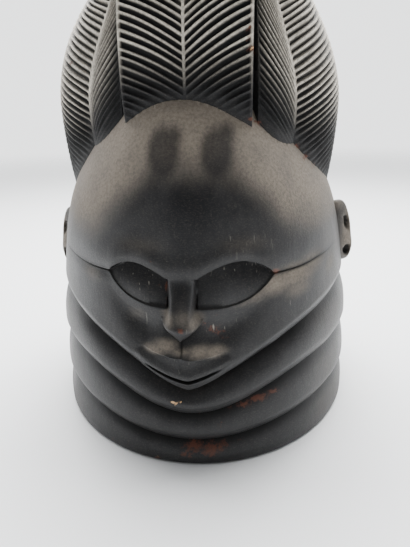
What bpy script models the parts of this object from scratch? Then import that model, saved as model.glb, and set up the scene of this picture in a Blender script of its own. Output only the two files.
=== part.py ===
"""Sowei helmet mask, one hollow block of carved wood.

Metres, +Z up. The mask stands on its neck rim at Z = 0 and looks along -Y.
The face is the stylised ideal face of such masks. Angles round the mask start at the
middle of the face and are positive towards +X.
"""
import math

import bmesh
import bpy
from mathutils import Vector

CM = 0.01

# Neck: an oval tube with a plain base band and two rolls above it
NECK_HALF_WIDTH = 11.5 * CM
NECK_FRONT = 12.4 * CM
NECK_BACK = 13.05 * CM
NECK_TAPER = 0.042
RIM_BEVEL = 0.18 * CM
BAND_TOP = (1.85 * CM, 0.95 * CM, 30.0, 2.0)
ROLL_TOP = (3.75 * CM, 2.35 * CM, 26.0, 2.0)
JAW_LINE = (5.25 * CM, 4.85 * CM, 33.0, 1.3)
NOTCH_DEPTH = 0.50 * CM
CHIN_UNDERCUT = 0.75 * CM
LINE_SHIFT = 1.5
ROLL_SPREAD = 26.0
LIP_HEIGHT = 0.22 * CM
LIP_SET_BACK = 0.18 * CM
BODY_SHARE = 0.55
BODY_FULLNESS = 0.90

# Head above the jaw: height, half width, depth to the front, depth to the back
HEAD_STATIONS = (
    (5.0 * CM, 11.15 * CM, 12.75 * CM, 12.65 * CM),
    (8.0 * CM, 11.0 * CM, 12.15 * CM, 12.3 * CM),
    (11.0 * CM, 10.6 * CM, 11.75 * CM, 11.8 * CM),
    (14.0 * CM, 10.0 * CM, 11.55 * CM, 11.2 * CM),
    (16.5 * CM, 9.05 * CM, 11.2 * CM, 10.5 * CM),
    (18.5 * CM, 8.1 * CM, 10.65 * CM, 9.5 * CM),
    (20.2 * CM, 7.0 * CM, 9.95 * CM, 8.5 * CM),
    (21.6 * CM, 5.9 * CM, 8.95 * CM, 7.4 * CM),
    (23.2 * CM, 3.7 * CM, 6.2 * CM, 5.4 * CM),
    (24.2 * CM, 0.8 * CM, 1.4 * CM, 1.2 * CM),
)

# Eyes: almond fields cut back under the brow, and a crease out to each temple
EYE_INNER = 0.88 * CM
EYE_OUTER = (4.42 * CM, 5.10 * CM)
EYE_CORNER = 12.08 * CM
LOWER_LID_DROP = 1.62 * CM
UPPER_LID_RISE = (0.72 * CM, 0.95 * CM)
BROW_OVERHANG = 0.60 * CM
LOWER_LID_STEP = 0.22 * CM
EYEBALL_BULGE = 0.16 * CM
CREASE_DEPTH = 0.20 * CM
CREASE_END = 9.6 * CM
CREASE_RISE = 0.6 * CM
LID_GAP = 0.14 * CM
BROW_SWELL = 0.12 * CM
BROW_HEIGHT = 0.5 * CM
CHEEK_HOLLOW = 0.30 * CM
CHEEK_CENTRE = 2.6 * CM
CHEEK_HALF_WIDTH = 1.3 * CM
FACE_EDGE = 85.0

# Nose, mouth and chin, placed by the share of the way from jaw line to lower lid
NOSE_ROOT = 12.7 * CM
NOSE_LENGTH = 3.44 * CM
NOSE_BASE_SHARE = 0.66
NOSE_BASE_RISE = 0.11
NOSE_BASE_BEVEL = 0.05
NOSTRIL_SHARE = 0.76
NOSE_HEIGHT = 1.25 * CM
BRIDGE_HALF_WIDTH = 0.80 * CM
NOSTRIL_HALF_WIDTH = 1.15 * CM
SHELF_SHARE = 0.43
SHELF_HEIGHT = 0.42 * CM
SHELF_HALF_WIDTH = (1.35 * CM, 2.35 * CM)
MOUTH_SHARE = 0.13
MOUTH_HALF_WIDTH = 2.2 * CM
MOUTH_DEPTH = 0.24 * CM
MOUTH_LINE_WIDTH = 0.022
LIP_FRONT = 0.62

# Coiffure: a crest from front to back with a domed lobe on each side, mirrored in X and Y
HAIR_FOOT = 15.6 * CM
CREST_HALF_WIDTH = 3.5 * CM
CREST_CROWN = 0.42 * CM
CREST_FRONT = 9.35 * CM
CREST_TOP = 32.6 * CM
CREST_BELLY = 22.3 * CM
CREST_POWER = 2.3
CREST_TUCK = 0.08 / CM
LOBE_AXIS = 3.4 * CM
LOBE_RADIUS = 6.43 * CM
LOBE_BELLY = 21.0 * CM
LOBE_TOP = 31.0 * CM
LOBE_ROUNDING = 1.0
SLOT_REACH = 7.95 * CM
SEAM_ANGLE = 25.0
SEAM_TOP_ANGLE = 13.0
SEAM_REACH = 6.6 * CM
PANEL_SWELL = 0.35 * CM
GROOVE_PITCH = 0.40 * CM
GROOVE_DEPTH = 0.17 * CM
CREST_SLANT = 0.42
INNER_SLANT = 0.95
OUTER_SLANT = 0.40
SLANT_FADE = 6.5 * CM
PLAIN_CROWN = 6.0 * CM
CROWN_ROWS = 6

# Ears and the hollow
EAR_CENTRE = Vector((10.15 * CM, -2.3 * CM, 12.5 * CM))
EAR_SIZE = Vector((0.75 * CM, 1.25 * CM, 2.15 * CM))
EAR_HOLLOW_CENTRE = Vector((11.05 * CM, -2.5 * CM, 12.45 * CM))
EAR_HOLLOW_SIZE = Vector((0.5 * CM, 0.75 * CM, 1.45 * CM))
EAR_LEAN = 0.12
HOLLOW_STATIONS = (
    (24.6 * CM, 0.0), (24.0 * CM, 2.2 * CM), (22.4 * CM, 4.3 * CM), (20.0 * CM, 6.0 * CM),
    (16.5 * CM, 7.6 * CM), (12.5 * CM, 8.7 * CM), (8.0 * CM, 9.3 * CM), (3.0 * CM, 9.8 * CM),
    (-1.0 * CM, 10.0 * CM), (-1.0 * CM, 0.0),
)
HOLLOW_DEPTH_RATIO = 1.09
HOLLOW_SHIFT = 0.4 * CM

FACE_COLUMNS = 10
SIDE_COLUMNS = 6
BACK_COLUMNS = 5
HOLLOW_STEPS = 24
WOOD_COLOUR = (0.030, 0.028, 0.027, 1.0)


def ease(share):
    """Smooth step from 0 to 1."""
    share = min(1.0, max(0.0, share))
    return share * share * (3.0 - 2.0 * share)


def station_value(stations, height, column):
    """Smooth curve through one column of a list of stations, lowest first."""
    heights = [row[0] for row in stations]
    values = [row[column] for row in stations]
    last = len(heights) - 1
    height = min(heights[-1], max(heights[0], height))
    k = max(i for i in range(last) if heights[i] <= height)

    def tangent(i):
        low, high = max(0, i - 1), min(last, i + 1)
        return (values[high] - values[low]) / (heights[high] - heights[low])

    span = heights[k + 1] - heights[k]
    t = (height - heights[k]) / span
    rise = values[k + 1] - values[k]
    start = tangent(k) * span
    end = tangent(k + 1) * span
    bend = 3 * rise - 2 * start - end
    twist = start + end - 2 * rise
    return values[k] + t * start + t * t * bend + t ** 3 * twist


def oval(angle, half_width, front, back):
    """Distance from the axis to an oval at an angle from the face."""
    depth = front if math.cos(angle) > 0 else back
    return 1.0 / math.hypot(math.sin(angle) / half_width, math.cos(angle) / depth)


def line_height(line, angle):
    """Height of a line round the neck, lowest under the chin."""
    front, rise, width, power = line
    turn = abs(math.degrees(angle) - LINE_SHIFT) / width
    return front + rise * (1.0 - math.exp(-turn ** power))


def neck_radius(angle, height):
    scale = 1.0 - NECK_TAPER * height / (10.0 * CM)
    return scale * oval(angle, NECK_HALF_WIDTH, NECK_FRONT, NECK_BACK)


def head_radius(angle, height):
    sizes = [station_value(HEAD_STATIONS, height, column) for column in (1, 2, 3)]
    return oval(angle, *sizes)


def eye_outer(x):
    """Outer corner of the eye on this side: the left one in the picture is a little shorter."""
    return EYE_OUTER[0] if x < 0.0 else EYE_OUTER[1]


def eye_share(x):
    return (abs(x) - EYE_INNER) / (eye_outer(x) - EYE_INNER)


def crease_height(x):
    """Crease from the outer corner of the eye to the temple."""
    out = ease((abs(x) - eye_outer(x) - 1.0 * CM) / (CREASE_END - eye_outer(x)))
    return EYE_CORNER + CREASE_RISE * out


def lower_lid(x):
    share = eye_share(x)
    if share >= 1.0:
        return crease_height(x)
    return EYE_CORNER - LOWER_LID_DROP * (1.0 - max(0.0, share) ** 3.2)


def upper_lid(x):
    share = eye_share(x)
    if share >= 1.0:
        return crease_height(x) + LID_GAP
    arch = math.sin(math.pi * max(0.0, share) ** 1.15) ** 0.8
    rise = UPPER_LID_RISE[0] if x < 0.0 else UPPER_LID_RISE[1]
    return EYE_CORNER + LID_GAP + rise * arch


def nose_half_width(share):
    """Half width of the nose from its root to the nostrils."""
    flare = ease((1.0 - share) / (1.0 - NOSTRIL_SHARE))
    return BRIDGE_HALF_WIDTH + flare * (NOSTRIL_HALF_WIDTH - BRIDGE_HALF_WIDTH)


def nose_foot(x):
    """Share at which the underside of the nose begins, lowest in the middle like a V."""
    return NOSE_BASE_SHARE + NOSE_BASE_RISE * min(1.0, abs(x) / NOSTRIL_HALF_WIDTH)


def nose_rise(x, share, height):
    """How far the nose stands out of the face."""
    underside = ease((share - nose_foot(x)) / NOSE_BASE_BEVEL)
    ridge = ease((NOSE_ROOT - height) / NOSE_LENGTH) ** 1.3
    across = abs(x) / nose_half_width(share)
    return NOSE_HEIGHT * underside * ridge * (1.0 - ease((across - 0.45) / 0.75))


def mouth_rise(x, share):
    """Sloping shelf of the upper lip, flat lip front, mouth line and chin."""
    top, bottom = SHELF_HALF_WIDTH
    if share > SHELF_SHARE:
        slope = (NOSE_BASE_SHARE - share) / (NOSE_BASE_SHARE - SHELF_SHARE)
        half_width = top + (bottom - top) * slope
        rise = SHELF_HEIGHT * max(0.0, slope)
    else:
        half_width = bottom
        edge = ease(1.0 - (SHELF_SHARE - share) / 0.05)
        rise = SHELF_HEIGHT * (LIP_FRONT + (1.0 - LIP_FRONT) * edge)
    side = 1.0 - ease((abs(x) - 0.85 * half_width) / (0.35 * half_width))
    rise *= side if share < NOSE_BASE_SHARE else 0.0
    line = math.exp(-((share - MOUTH_SHARE) / MOUTH_LINE_WIDTH) ** 2)
    line *= 1.0 - ease((abs(x) / MOUTH_HALF_WIDTH - 0.8) / 0.4)
    return rise - MOUTH_DEPTH * line


def eye_cut(x, height):
    """Depth of the eye field, or of the crease beside it."""
    low, high = lower_lid(x), upper_lid(x)
    inside = (height - low) / (high - low)
    if not 0.0 <= inside <= 1.0:
        return 0.0
    share = eye_share(x)
    if share >= 1.0:
        fade = 1.0 - ease((abs(x) - eye_outer(x)) / (CREASE_END - eye_outer(x)))
        return CREASE_DEPTH * fade
    if share < 0.0:
        return BROW_OVERHANG * ease(1.0 + share / 0.12) * 0.8
    slope = LOWER_LID_STEP + (BROW_OVERHANG - LOWER_LID_STEP) * inside
    ball = EYEBALL_BULGE * math.sin(math.pi * inside) * math.sin(math.pi * share)
    return slope * (1.0 - 0.55 * share ** 4) - ball


def face_rise(angle, height, x):
    """All relief of the face, outwards from the plain head."""
    jaw = line_height(JAW_LINE, angle)
    lid = lower_lid(x)
    share = (height - jaw) / (lid - jaw)
    across = (abs(x) - CHEEK_CENTRE) / CHEEK_HALF_WIDTH
    hollow = CHEEK_HOLLOW * math.exp(-across ** 2 - ((share - 0.72) / 0.25) ** 2)
    brow = BROW_SWELL * math.exp(-((height - upper_lid(x)) / BROW_HEIGHT - 1.0) ** 2)
    brow *= 1.0 - ease((abs(x) - 3.0 * CM) / (4.0 * CM))
    rise = brow - hollow + mouth_rise(x, share) - eye_cut(x, height)
    return rise + nose_rise(x, share, height)


def neck_rows(angle):
    """Radius and height of each row of the neck, from the rim up to the jaw line."""
    rows = [(neck_radius(angle, 0.0) - RIM_BEVEL, 0.0), (neck_radius(angle, 0.0), RIM_BEVEL)]
    lines = [line_height(line, angle) for line in (BAND_TOP, ROLL_TOP, JAW_LINE)]
    foot = RIM_BEVEL
    front = math.exp(-(math.degrees(angle) / ROLL_SPREAD) ** 2)
    for number, line in enumerate(lines):
        outer = neck_radius(angle, line)
        depth = NOTCH_DEPTH * (0.75 + 0.25 * front)
        if number == 2:
            outer = head_radius(angle, line)
            depth += CHIN_UNDERCUT * front
        top = line - LIP_HEIGHT
        notch = min(outer, neck_radius(angle, top)) - depth
        swell = neck_radius(angle, foot) - notch
        rows.append((notch + swell * BODY_FULLNESS, foot + (top - foot) * BODY_SHARE))
        rows.append((notch, top))
        rows.append((outer - LIP_SET_BACK, line - 0.3 * LIP_HEIGHT))
        foot = line + 0.5 * LIP_HEIGHT
        rows.append((outer, foot))
    return rows


def head_heights(angle):
    """Heights of the rows above the jaw line, with rows along the lids and the mouth."""
    jaw = line_height(JAW_LINE, angle) + 0.5 * LIP_HEIGHT
    x = head_radius(angle, EYE_CORNER) * math.sin(angle)
    low, high = lower_lid(x), upper_lid(x)
    foot = nose_foot(x)
    shares = (0.08, 0.13, 0.18, 0.38, 0.43, 0.54, foot - 0.005, foot + NOSE_BASE_BEVEL, 0.88)
    heights = [jaw + (low - jaw) * share for share in shares]
    heights += [low - 0.06 * CM]
    heights += [low + (high - low) * share for share in (0.02, 0.25, 0.55, 0.82, 0.97)]
    heights += [high + 0.12 * CM]
    top = HEAD_STATIONS[-1][0]
    heights += [high + (top - high) * share for share in (0.09, 0.2, 0.34, 0.48, 0.62, 0.76, 0.9, 1.0)]
    return heights


def column_angles():
    """Angles of the columns, close together on the face and wider at the back."""
    face, side = math.radians(28.0), math.radians(90.0)
    half = [face * k / FACE_COLUMNS for k in range(FACE_COLUMNS)]
    half += [face + (side - face) * k / SIDE_COLUMNS for k in range(SIDE_COLUMNS)]
    half += [side + (math.pi - side) * k / BACK_COLUMNS for k in range(BACK_COLUMNS + 1)]
    return [-angle for angle in reversed(half[1:])] + half


def polar(radius, angle, height):
    return Vector((radius * math.sin(angle), -radius * math.cos(angle), height))


def head_surface(angle, row):
    """Point of the head and neck at an angle and a row number."""
    rows = neck_rows(angle)
    if row < len(rows):
        radius, height = rows[row]
        return polar(radius, angle, height)
    height = head_heights(angle)[row - len(rows)]
    radius = head_radius(angle, height)
    if abs(angle) < math.radians(FACE_EDGE):
        radius += face_rise(angle, height, radius * math.sin(angle))
    return polar(radius, angle, height)


def arc_table(height_at, reach_at, steps=400):
    """Points and running length of a profile, from its foot to its top."""
    points = [(reach_at(k / steps), height_at(k / steps)) for k in range(steps + 1)]
    lengths = [0.0]
    for k in range(steps):
        lengths.append(lengths[-1] + math.dist(points[k], points[k + 1]))
    return points, lengths


def at_length(points, lengths, length):
    """Reach and height of a profile at a length along it."""
    length = min(lengths[-1], max(0.0, length))
    low, high = 0, len(lengths) - 1
    while high - low > 1:
        middle = (low + high) // 2
        if lengths[middle] <= length:
            low = middle
        else:
            high = middle
    share = (length - lengths[low]) / (lengths[high] - lengths[low])
    return [points[low][i] + share * (points[high][i] - points[low][i]) for i in (0, 1)]


def dome_height(share, belly, top):
    """Height along a profile that is straight from the foot to the belly and round above it."""
    straight = 0.35
    if share < straight:
        return HAIR_FOOT + (belly - HAIR_FOOT) * share / straight
    return belly + (top - belly) * math.sin((share - straight) / (1.0 - straight) * math.pi / 2)


def crest_reach(height):
    if height < CREST_BELLY:
        return CREST_FRONT - CREST_TUCK * (CREST_BELLY - height) ** 2
    share = (height - CREST_BELLY) / (CREST_TOP - CREST_BELLY)
    return CREST_FRONT * max(0.0, 1.0 - share ** CREST_POWER) ** (1.0 / CREST_POWER)


def lobe_scale(height, power, root):
    """How much of its widest reach a lobe keeps at a height."""
    if height < LOBE_BELLY:
        return 1.0 - 0.03 * ((LOBE_BELLY - height) / (3.5 * CM)) ** 2
    share = (height - LOBE_BELLY) / (LOBE_TOP - LOBE_BELLY)
    return max(0.0, 1.0 - share ** power) ** root


CREST_ARC = arc_table(
    lambda share: dome_height(share, CREST_BELLY, CREST_TOP),
    lambda share: crest_reach(dome_height(share, CREST_BELLY, CREST_TOP)),
)
LOBE_ARC = arc_table(
    lambda share: dome_height(share, LOBE_BELLY, LOBE_TOP),
    lambda share: LOBE_RADIUS * lobe_scale(dome_height(share, LOBE_BELLY, LOBE_TOP), 2.0, LOBE_ROUNDING),
)


def crest_point(x, length):
    """Smooth crest at a distance from the centre seam and a length from the foot."""
    reach, height = at_length(*CREST_ARC, length)
    ahead = at_length(*CREST_ARC, length + 0.05 * CM)
    behind = at_length(*CREST_ARC, length - 0.05 * CM)
    normal = Vector((0.0, -(ahead[1] - behind[1]), -(ahead[0] - behind[0]))).normalized()
    if length >= CREST_ARC[1][-1]:
        normal = Vector((0.0, 0.0, 1.0))
    return Vector((x, -reach, height)) - normal * CREST_CROWN * (x / CREST_HALF_WIDTH) ** 2


def lobe_point(turn, length):
    """Smooth side lobe at a turn in degrees from the front slot and a length from the foot."""
    height = at_length(*LOBE_ARC, length)[1]
    slot = SLOT_REACH * lobe_scale(height, 2.6, 0.6)
    seam = SEAM_REACH * lobe_scale(height, 2.3, 0.6)
    side = LOBE_RADIUS * lobe_scale(height, 2.0, LOBE_ROUNDING)
    seam_turn = SEAM_ANGLE + (SEAM_TOP_ANGLE - SEAM_ANGLE) * ease((height - LOBE_BELLY) / (7.0 * CM))
    if turn < SEAM_ANGLE:
        share = turn / SEAM_ANGLE
        reach = slot + (seam - slot) * share + PANEL_SWELL * math.sin(math.pi * share) * slot / SLOT_REACH
        angle = math.radians(seam_turn * share)
    else:
        share = (turn - SEAM_ANGLE) / (90.0 - SEAM_ANGLE)
        reach = seam + (side - seam) * ease(share)
        angle = math.radians(seam_turn + (90.0 - seam_turn) * share)
    return Vector((LOBE_AXIS + reach * math.sin(angle), -reach * math.cos(angle), height))


ACROSS_STEP = {crest_point: 0.05 * CM, lobe_point: 1.0}


def carved(surface, across, length, depth):
    """Point of a surface, cut back by a depth square to it."""
    point = surface(across, length)
    if depth == 0.0:
        return point
    side = surface(across + ACROSS_STEP[surface], length) - point
    up = surface(across, length + 0.1 * CM) - surface(across, length - 0.1 * CM)
    return point - side.cross(up).normalized() * depth


def quarter(name, surface, columns, total, corner, collection):
    """Quarter of a coiffure lobe, open where its mirror images meet it.

    A column is its place across, its rise along the lobe and its kind: a ridge is never cut,
    a groove is cut on every second row, and a wall runs back flat to the middle of the mask.
    """
    highest = max(rise for across, rise, kind in columns)
    carved_end = total - PLAIN_CROWN
    carved_rows = 2 * round((carved_end + highest) / GROOVE_PITCH)
    starts = [-highest + row * GROOVE_PITCH / 2.0 for row in range(carved_rows + 1)]
    starts += [starts[-1] + (total - starts[-1]) * k / CROWN_ROWS for k in range(1, CROWN_ROWS + 1)]

    def place(column, row):
        across, rise, kind = columns[column]
        flatten = 1.0 - ease((starts[row] - total + SLANT_FADE) / SLANT_FADE)
        length = min(total, max(0.0, starts[row] + rise * flatten))
        fade = ease((carved_end + 1.5 * CM - length) / (2.0 * CM)) * ease(length / (0.4 * CM))
        cut = kind == "groove" and row % 2 and row < carved_rows
        point = carved(surface, across, length, GROOVE_DEPTH * fade if cut else 0.0)
        return Vector((point.x, 0.0, point.z)) if kind == "wall" else point

    bm = wrapped_grid(len(columns), len(starts), place)
    foot = [place(column, 0) for column in range(len(columns))] + corner
    bm.faces.new([bm.verts.new(point) for point in foot])
    bmesh.ops.remove_doubles(bm, verts=bm.verts, dist=0.00002)
    bmesh.ops.recalc_face_normals(bm, faces=bm.faces)
    inside = Vector((5.0 * CM if surface is lobe_point else 1.0 * CM, -1.0 * CM, 20.0 * CM))
    outward = sum(
        face.normal.dot(face.calc_center_median() - inside) * face.calc_area() for face in bm.faces
    )
    if outward < 0.0:
        bmesh.ops.reverse_faces(bm, faces=bm.faces)
    item = add_object(name, bm, collection)
    modifier = item.modifiers.new("Mirror", "MIRROR")
    modifier.use_axis = (True, True, False)
    modifier.merge_threshold = 0.00005
    return item


def wrapped_grid(columns, rows, place):
    """Grid primitive with its points moved on to a form."""
    bm = bmesh.new()
    bmesh.ops.create_grid(bm, x_segments=columns - 1, y_segments=rows - 1, size=0.5)
    for vertex in bm.verts:
        column = round((vertex.co.x + 0.5) * (columns - 1))
        row = round((vertex.co.y + 0.5) * (rows - 1))
        vertex.co = place(column, row)
    bmesh.ops.remove_doubles(bm, verts=bm.verts, dist=0.00002)
    return bm


def add_object(name, bm, collection):
    mesh = bpy.data.meshes.new(name)
    bm.to_mesh(mesh)
    bm.free()
    item = bpy.data.objects.new(name, mesh)
    collection.objects.link(item)
    return item


def make_head(collection):
    """Head and neck: a grid wound round the axis and closed under the rim and at the crown."""
    angles = column_angles()
    rows = len(neck_rows(0.0)) + len(head_heights(0.0))
    bm = wrapped_grid(len(angles), rows, lambda column, row: head_surface(angles[column], row))
    bmesh.ops.holes_fill(bm, edges=[edge for edge in bm.edges if edge.is_boundary])
    bmesh.ops.recalc_face_normals(bm, faces=bm.faces)
    return add_object("sowei_mask", bm, collection)


def make_crest(collection):
    half = CREST_HALF_WIDTH
    places = ((0.0, "ridge"), (0.28 * half, "groove"), (0.75 * half, "groove"), (half, "ridge"))
    columns = [(x, x * CREST_SLANT, kind) for x, kind in places]
    columns.append((half, half * CREST_SLANT, "wall"))
    middle = [Vector((0.0, 0.0, HAIR_FOOT))]
    return quarter("crest", crest_point, columns, CREST_ARC[1][-1], middle, collection)


def make_lobes(collection):
    """Columns of the side lobe: slot, inner panel, seam, outer panel and the middle of the side."""
    places = ((0.0, "wall"), (0.0, "ridge"), (12.0, "groove"), (SEAM_ANGLE, "ridge"),
              (38.0, "groove"), (64.0, "groove"), (90.0, "ridge"))
    columns = []
    for turn, kind in places:
        slant = INNER_SLANT if turn < SEAM_ANGLE else OUTER_SLANT
        rise = abs(math.radians(turn - SEAM_ANGLE)) * LOBE_RADIUS * slant
        columns.append((turn, rise, kind))
    return quarter("side_lobes", lobe_point, columns, LOBE_ARC[1][-1], [], collection)


def make_ears(name, size, centre, collection):
    """A pair of ellipsoids, one at each side of the head, leaning in at the top."""
    bm = bmesh.new()
    bmesh.ops.create_uvsphere(bm, u_segments=10, v_segments=6, radius=1.0)
    for vertex in bm.verts:
        vertex.co = Vector([vertex.co[i] * size[i] for i in range(3)])
        vertex.co.x -= EAR_LEAN * vertex.co.z
        vertex.co += centre
    item = add_object(name, bm, collection)
    modifier = item.modifiers.new("Mirror", "MIRROR")
    modifier.merge_threshold = 0.00005
    return item


def make_hollow(collection):
    """Space for the wearer's head: a turned profile drawn out to an oval."""
    bm = bmesh.new()
    points = [bm.verts.new((radius, 0.0, height)) for height, radius in HOLLOW_STATIONS]
    for start, end in zip(points, points[1:]):
        bm.edges.new((start, end))
    item = add_object("hollow", bm, collection)
    item.location.y = HOLLOW_SHIFT
    item.scale = (1.0, HOLLOW_DEPTH_RATIO, 1.0)
    screw = item.modifiers.new("Screw", "SCREW")
    screw.steps = HOLLOW_STEPS
    screw.render_steps = HOLLOW_STEPS
    screw.use_merge_vertices = True
    screw.merge_threshold = 0.00005
    return item


def wood(item):
    material = bpy.data.materials.new("blackened_wood")
    material.use_nodes = True
    shader = material.node_tree.nodes["Principled BSDF"]
    shader.inputs["Base Color"].default_value = WOOD_COLOUR
    shader.inputs["Roughness"].default_value = 0.45
    shader.inputs["Metallic"].default_value = 0.0
    item.data.materials.append(material)


def combine(item, other, operation):
    modifier = item.modifiers.new(other.name, "BOOLEAN")
    modifier.object = other
    modifier.operation = operation
    modifier.solver = "EXACT"
    other.hide_render = True
    other.display_type = "WIRE"


def main():
    for item in list(bpy.data.objects):
        bpy.data.objects.remove(item, do_unlink=True)
    model = bpy.data.collections.new("sowei_helmet_mask")
    tools = bpy.data.collections.new("shaping_forms")
    for collection in (model, tools):
        bpy.context.scene.collection.children.link(collection)
    mask = make_head(model)
    wood(mask)
    combine(mask, make_ears("ears", EAR_SIZE, EAR_CENTRE, tools), "UNION")
    combine(mask, make_ears("ear_hollows", EAR_HOLLOW_SIZE, EAR_HOLLOW_CENTRE, tools), "DIFFERENCE")
    combine(mask, make_crest(tools), "UNION")
    combine(mask, make_lobes(tools), "UNION")
    combine(mask, make_hollow(tools), "DIFFERENCE")
    mask.data.shade_smooth()
    mask.data.set_sharp_from_angle(angle=math.radians(35.0))


main()
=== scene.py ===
import bpy
import math
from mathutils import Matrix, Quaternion, Vector, kdtree, noise


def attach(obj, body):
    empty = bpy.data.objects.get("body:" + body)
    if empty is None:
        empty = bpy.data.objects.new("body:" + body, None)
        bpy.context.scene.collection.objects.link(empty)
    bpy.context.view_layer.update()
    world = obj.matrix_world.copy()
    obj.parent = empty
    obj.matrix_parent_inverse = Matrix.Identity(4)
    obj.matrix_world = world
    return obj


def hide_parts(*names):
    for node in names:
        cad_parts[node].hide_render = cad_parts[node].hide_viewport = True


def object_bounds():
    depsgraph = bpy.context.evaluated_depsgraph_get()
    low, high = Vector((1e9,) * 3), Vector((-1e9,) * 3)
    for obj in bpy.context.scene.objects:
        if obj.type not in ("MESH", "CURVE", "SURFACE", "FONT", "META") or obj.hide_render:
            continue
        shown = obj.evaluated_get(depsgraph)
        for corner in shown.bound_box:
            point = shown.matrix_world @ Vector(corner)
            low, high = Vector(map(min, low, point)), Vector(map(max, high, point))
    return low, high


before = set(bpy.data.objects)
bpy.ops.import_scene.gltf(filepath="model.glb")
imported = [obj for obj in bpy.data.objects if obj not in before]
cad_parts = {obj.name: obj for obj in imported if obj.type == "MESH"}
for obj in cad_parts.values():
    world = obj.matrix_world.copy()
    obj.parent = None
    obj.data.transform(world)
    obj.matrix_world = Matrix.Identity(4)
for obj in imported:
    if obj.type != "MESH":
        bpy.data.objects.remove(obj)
cadBox = [list(corner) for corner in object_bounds()]
cm = 0.01  # lengths below are in metres, written as centimetres times cm
print("frame loaded")


# small helpers for forms
def ease(share):
    share = min(1.0, max(0.0, share))
    return share * share * (3.0 - 2.0 * share)


def bell(value, width):
    return math.exp(-(value / width) ** 2)


def mixValue(low, high, share):
    return low + (high - low) * share


def wander(point, size, seed=0.0):
    # smooth unevenness from -1 to 1 that changes over a distance of about size
    return noise.noise(Vector((point[0] / size + seed, point[1] / size - seed, point[2] / size + 2.0 * seed)))


def deselectAll():
    bpy.ops.object.select_all(action="DESELECT")


def activate(piece):
    deselectAll()
    piece.select_set(True)
    bpy.context.view_layer.objects.active = piece


def tidyMesh(piece):
    # closes seams and poles and turns the faces outwards
    activate(piece)
    bpy.ops.object.mode_set(mode="EDIT")
    bpy.ops.mesh.select_all(action="SELECT")
    bpy.ops.mesh.remove_doubles(threshold=0.00002)
    bpy.ops.mesh.dissolve_degenerate(threshold=0.000001)
    bpy.ops.mesh.select_all(action="DESELECT")
    bpy.ops.mesh.select_non_manifold(extend=False, use_wire=False, use_multi_face=False, use_non_contiguous=False,
                                     use_verts=False)
    bpy.ops.mesh.fill_holes(sides=0)
    bpy.ops.mesh.select_all(action="SELECT")
    bpy.ops.mesh.normals_make_consistent(inside=False)
    bpy.ops.object.mode_set(mode="OBJECT")


traits = ("hair", "groove", "powder", "grime", "worn", "inside")


def store(mesh, name, values, domain="POINT"):
    mesh.attributes.new(name, "FLOAT", domain).data.foreach_set("value", values)


def wrapGrid(name, columns, rows, place):
    # a flat grid of columns and rows, each point moved on to the form, with its traits kept
    deselectAll()
    bpy.ops.mesh.primitive_grid_add(x_subdivisions=columns - 1, y_subdivisions=rows - 1, size=1.0)
    piece = bpy.context.object
    piece.name = name
    mesh = piece.data
    values = {trait: [0.0] * len(mesh.vertices) for trait in traits}
    for vertex in mesh.vertices:
        column = round((vertex.co.x + 0.5) * (columns - 1))
        row = round((vertex.co.y + 0.5) * (rows - 1))
        vertex.co, found = place(column, row)
        for trait, value in found.items():
            values[trait][vertex.index] = value
    for trait in traits:
        store(mesh, trait, values[trait])
    tidyMesh(piece)
    print("shaped", name, len(mesh.vertices))
    return piece


# neck and head
neck = {
    "halfWidth": 11.5 * cm, "front": 12.4 * cm, "back": 13.05 * cm, "taper": 0.042,
    "rimBevel": 0.18 * cm,
    # height at the front, rise to the back, width of the dip in degrees, its sharpness
    "lines": ((1.72 * cm, 1.08 * cm, 30.0, 2.0), (3.62 * cm, 2.48 * cm, 26.0, 2.0), (5.60 * cm, 4.50 * cm, 33.0, 1.3)),
    "lineShift": 1.5, "notchDepth": 0.50 * cm, "chinUndercut": 0.75 * cm, "lipHeight": 0.18 * cm,
    "lipRound": 0.24 * cm, "lipReach": 0.60 * cm, "bodyRows": 15, "lipRows": 5, "roundness": 2.6,
}
head = {
    # height, half width, depth to the front, depth to the back
    "stations": [[value * cm for value in row] for row in (
        (5.0, 11.15, 12.75, 12.65), (8.0, 11.0, 12.15, 12.3), (11.0, 10.6, 11.75, 11.8), (14.0, 10.0, 11.55, 11.2),
        (16.5, 9.05, 11.2, 10.5), (18.5, 7.75, 10.65, 9.5), (20.2, 6.4, 9.95, 8.5), (21.6, 5.2, 8.95, 7.4),
        (23.2, 3.4, 6.2, 5.4), (24.2, 0.8, 1.4, 1.2),
    )],
    "faceColumns": 46, "sideColumns": 34, "backColumns": 26, "domeRows": 40,
    "toolMarks": 0.012 * cm,
}
face = {
    "eyeInner": 0.88 * cm, "eyeOuter": (4.42 * cm, 5.10 * cm), "eyeCorner": 12.08 * cm, "eyeTilt": 0.07 * cm,
    "lowerLidDrop": 1.62 * cm, "upperLidRise": (0.72 * cm, 0.95 * cm), "browOverhang": 0.60 * cm,
    "lowerLidStep": 0.11 * cm, "eyeballBulge": 0.16 * cm, "lidGap": 0.14 * cm,
    "creaseDepth": 0.20 * cm, "creaseEnd": 9.6 * cm, "creaseRise": 0.6 * cm,
    "noseRoot": 12.7 * cm, "noseLength": 3.44 * cm, "noseBase": 0.65, "noseBaseRise": 0.17,
    "noseHeight": 1.25 * cm, "bridgeHalfWidth": 0.77 * cm, "nostrilHalfWidth": 1.05 * cm, "nostrilShare": 0.80,
    "shelfShare": 0.43, "shelfHeight": 0.50 * cm, "shelfHalfWidth": (1.30 * cm, 2.30 * cm), "lipHalfWidth": 2.9 * cm,
    "mouthShare": 0.146, "mouthTilt": 0.012, "mouthHalfWidth": 2.3 * cm, "mouthDepth": 0.24 * cm,
    "grooveDepth": 0.07 * cm, "grooveHalfWidth": 0.09 * cm, "grooveShift": 0.02 * cm, "browSwell": 0.12 * cm,
    "cheekHollow": 0.30 * cm, "cheekMiddle": 2.6 * cm, "cheekHalfWidth": 1.3 * cm, "edgeAngle": 85.0,
}


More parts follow.
